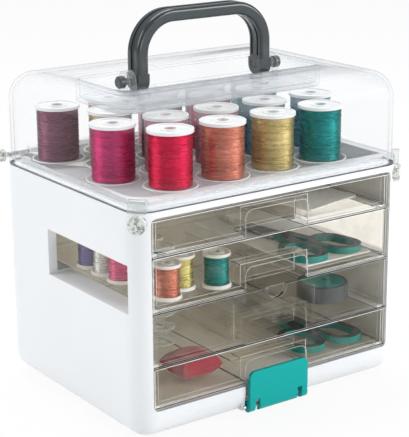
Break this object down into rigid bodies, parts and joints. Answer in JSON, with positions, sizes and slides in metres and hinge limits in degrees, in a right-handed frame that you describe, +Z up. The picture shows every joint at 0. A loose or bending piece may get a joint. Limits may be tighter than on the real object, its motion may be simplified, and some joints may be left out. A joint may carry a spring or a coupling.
{
  "type": "embroidery thread box",
  "caption": "Upright sewing box: white open-fronted case with sliding clear drawers, a spool tray under a hinged clear lid, a folding carry handle and a front latch.",
  "frame": {"origin": "middle of the footprint at the floor the feet stand on", "axes": "+Z up, -Y out of the open drawer front, +X to the right when facing the drawers"},
  "size_m": [0.2454, 0.2012, 0.2885],
  "materials": {
    "card_white": "matt white",
    "clear_button": "clear with a green cast",
    "clear_lid": "clear, polished",
    "foot_rubber": "matt dark rubber",
    "grip_green": "satin teal",
    "grip_grey": "satin grey",
    "grip_inlay": "matt near-black",
    "grip_slate": "fine-grained satin slate",
    "latch_teal": "semi-gloss teal",
    "pin_slate": "satin slate",
    "pouch_pink": "soft pink",
    "reel_white": "semi-gloss",
    "runner_white": "satin white",
    "smoke_drawer": "clear with a smoky cast",
    "steel": "drawn steel",
    "white_shell": "semi-gloss cool white",
    "yarn_blue": "silky wound thread",
    "yarn_copper": "silky wound thread",
    "yarn_crimson": "silky wound thread",
    "yarn_gold": "silky wound thread",
    "yarn_lilac": "silky wound thread",
    "yarn_magenta": "silky wound thread",
    "yarn_mauve": "silky wound thread",
    "yarn_pink": "silky wound thread",
    "yarn_rose": "silky wound thread",
    "yarn_teal": "silky wound thread",
    "yarn_yellow": "silky wound thread"
  },
  "bodies": {
    "case": {"case_shell": "white_shell", "case_front": "white_shell", "case_feet": "foot_rubber", "drawer_runners": "runner_white", "latch_rod": "steel", "corner_buttons": "clear_button", "case_hinge_knuckles": "white_shell", "hinge_rod": "steel", "spool_tray": "white_shell", "spool_reels": "reel_white", "thread_mauve": "yarn_mauve", "thread_crimson": "yarn_crimson", "thread_magenta": "yarn_magenta", "thread_copper": "yarn_copper", "thread_gold": "yarn_gold", "thread_teal": "yarn_teal", "thread_blue": "yarn_blue", "thread_rose": "yarn_rose"},
    "lid": {"lid_shell": "clear_lid", "lid_hinge_knuckles": "clear_lid", "lid_corner_tabs": "clear_button", "handle_lugs": "clear_lid"},
    "handle": {"handle_grip": "grip_slate", "handle_inlay": "grip_inlay", "handle_pins": "pin_slate"},
    "latch": {"latch_plate": "latch_teal"},
    "top_drawer": {"drawer_1": "smoke_drawer", "stitch_card": "card_white"},
    "second_drawer": {"drawer_2": "smoke_drawer", "small_reels": "reel_white", "small_thread_copper": "yarn_copper", "small_thread_yellow": "yarn_yellow", "small_thread_teal": "yarn_teal", "small_thread_lilac": "yarn_lilac", "small_thread_pink": "yarn_pink", "small_thread_white": "reel_white", "pattern_card": "card_white", "upper_scissor_blades": "steel", "upper_scissor_grips": "grip_grey"},
    "third_drawer": {"drawer_3": "smoke_drawer", "tape_case": "grip_grey", "tape_disc": "grip_green", "bobbin_stack": "clear_lid"},
    "bottom_drawer": {"drawer_4": "smoke_drawer", "lower_scissor_blades": "steel", "lower_scissor_grips": "grip_green", "pink_pouch": "pouch_pink"}
  },
  "joints": [
    {"name": "lid_hinge", "type": "hinge", "parent": "case", "child": "lid", "pos_m": [0, 0.0958, 0.172], "axis": [-1, 0, 0], "range_deg": [0, 105]},
    {"name": "handle_pivot", "type": "hinge", "parent": "lid", "child": "handle", "pos_m": [0, -0.0032, 0.2385], "axis": [1, 0, 0], "range_deg": [-72, 72]},
    {"name": "latch_hinge", "type": "hinge", "parent": "case", "child": "latch", "pos_m": [0, -0.0962, 0.0082], "axis": [1, 0, 0], "range_deg": [0, 88]},
    {"name": "top_drawer_slide", "type": "slide", "parent": "case", "child": "top_drawer", "axis": [0, -1, 0], "range_m": [0, 0.12]},
    {"name": "second_drawer_slide", "type": "slide", "parent": "case", "child": "second_drawer", "axis": [0, -1, 0], "range_m": [0, 0.12]},
    {"name": "third_drawer_slide", "type": "slide", "parent": "case", "child": "third_drawer", "axis": [0, -1, 0], "range_m": [0, 0.12]},
    {"name": "bottom_drawer_slide", "type": "slide", "parent": "case", "child": "bottom_drawer", "axis": [0, -1, 0], "range_m": [0, 0.12]}
  ]
}
